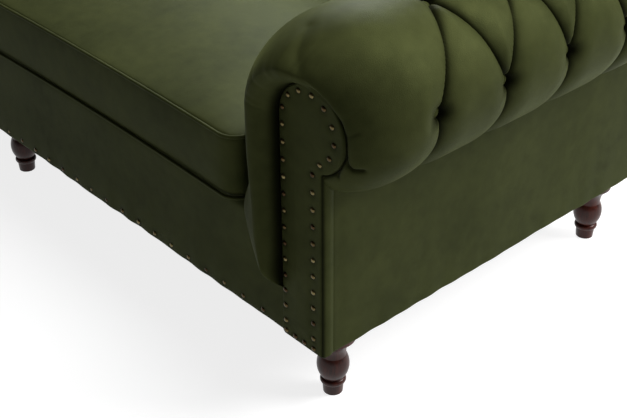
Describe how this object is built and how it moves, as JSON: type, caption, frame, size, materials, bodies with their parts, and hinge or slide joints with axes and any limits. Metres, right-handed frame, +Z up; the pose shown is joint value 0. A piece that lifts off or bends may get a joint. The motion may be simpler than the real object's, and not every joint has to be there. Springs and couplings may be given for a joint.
{
  "type": "chesterfield sofa",
  "caption": "Low rolled-arm sofa with deep diamond buttoning in olive velvet, nailed scroll facings, loose piped seat cushions and turned dark feet.",
  "frame": {"origin": "on the floor below the middle of the sofa's outer box", "axes": "+X to the viewer's right as seen from the front, +Y from the front to the back, +Z up"},
  "size_m": [2.284, 0.9819, 0.6973],
  "materials": {
    "velvet": "olive green cotton velvet, short pile with a strong sheen",
    "foot_mahogany": "dark mahogany, polished gloss",
    "nail_brass": "antique brass, domed heads",
    "zinc_steel": "zinc plated",
    "foam": "upholstery foam, matt",
    "deck_felt": "felted fibre pad",
    "dust_cloth": "black spunbond cloth, matt",
    "ply": "birch ply, unfinished",
    "frame_beech": "beech, unfinished"
  },
  "bodies": {
    "frame": {"back_buttons": "velvet", "back_cover": "velvet", "back_foam": "foam", "back_inner_panel": "ply", "back_rail": "frame_beech", "back_tack_rail": "frame_beech", "back_top_rail": "frame_beech", "back_uprights": "frame_beech", "border_nails": "nail_brass", "centre_cross_rail": "frame_beech", "dust_cover": "dust_cloth", "foot_blocks": "frame_beech", "foot_bolts": "zinc_steel", "foot_tee_nuts": "zinc_steel", "front_border": "velvet", "front_centre_foot": "foot_mahogany", "front_edge_roll": "foam", "front_left_foot": "foot_mahogany", "front_rail": "frame_beech", "front_right_foot": "foot_mahogany", "left_arm_buttons": "velvet", "left_arm_cover": "velvet", "left_arm_facing": "velvet", "left_arm_foam": "foam", "left_arm_front_board": "ply", "left_arm_inner_panel": "ply", "left_arm_tack_rail": "frame_beech", "left_arm_top_rail": "frame_beech", "left_arm_upright": "frame_beech", "left_facing_nails": "nail_brass", "left_outside_arm": "velvet", "left_rear_post": "frame_beech", "left_side_rail": "frame_beech", "outside_back": "velvet", "rear_centre_foot": "foot_mahogany", "rear_left_foot": "foot_mahogany", "rear_right_foot": "foot_mahogany", "right_arm_buttons": "velvet", "right_arm_cover": "velvet", "right_arm_facing": "velvet", "right_arm_foam": "foam", "right_arm_front_board": "ply", "right_arm_inner_panel": "ply", "right_arm_tack_rail": "frame_beech", "right_arm_top_rail": "frame_beech", "right_arm_upright": "frame_beech", "right_facing_nails": "nail_brass", "right_outside_arm": "velvet", "right_rear_post": "frame_beech", "right_side_rail": "frame_beech", "seat_deck": "deck_felt", "seat_springs": "zinc_steel", "spring_clips": "zinc_steel"},
    "left_cushion": {"left_cushion_cover": "velvet", "left_cushion_foam": "foam", "left_cushion_piping": "velvet"},
    "right_cushion": {"right_cushion_cover": "velvet", "right_cushion_foam": "foam", "right_cushion_piping": "velvet"}
  },
  "joints": [
    {"name": "left_cushion_lift", "type": "slide", "parent": "frame", "child": "left_cushion", "axis": [0, 0, 1], "range_m": [0, 0.25]},
    {"name": "right_cushion_lift", "type": "slide", "parent": "frame", "child": "right_cushion", "axis": [0, 0, 1], "range_m": [0, 0.25]}
  ]
}
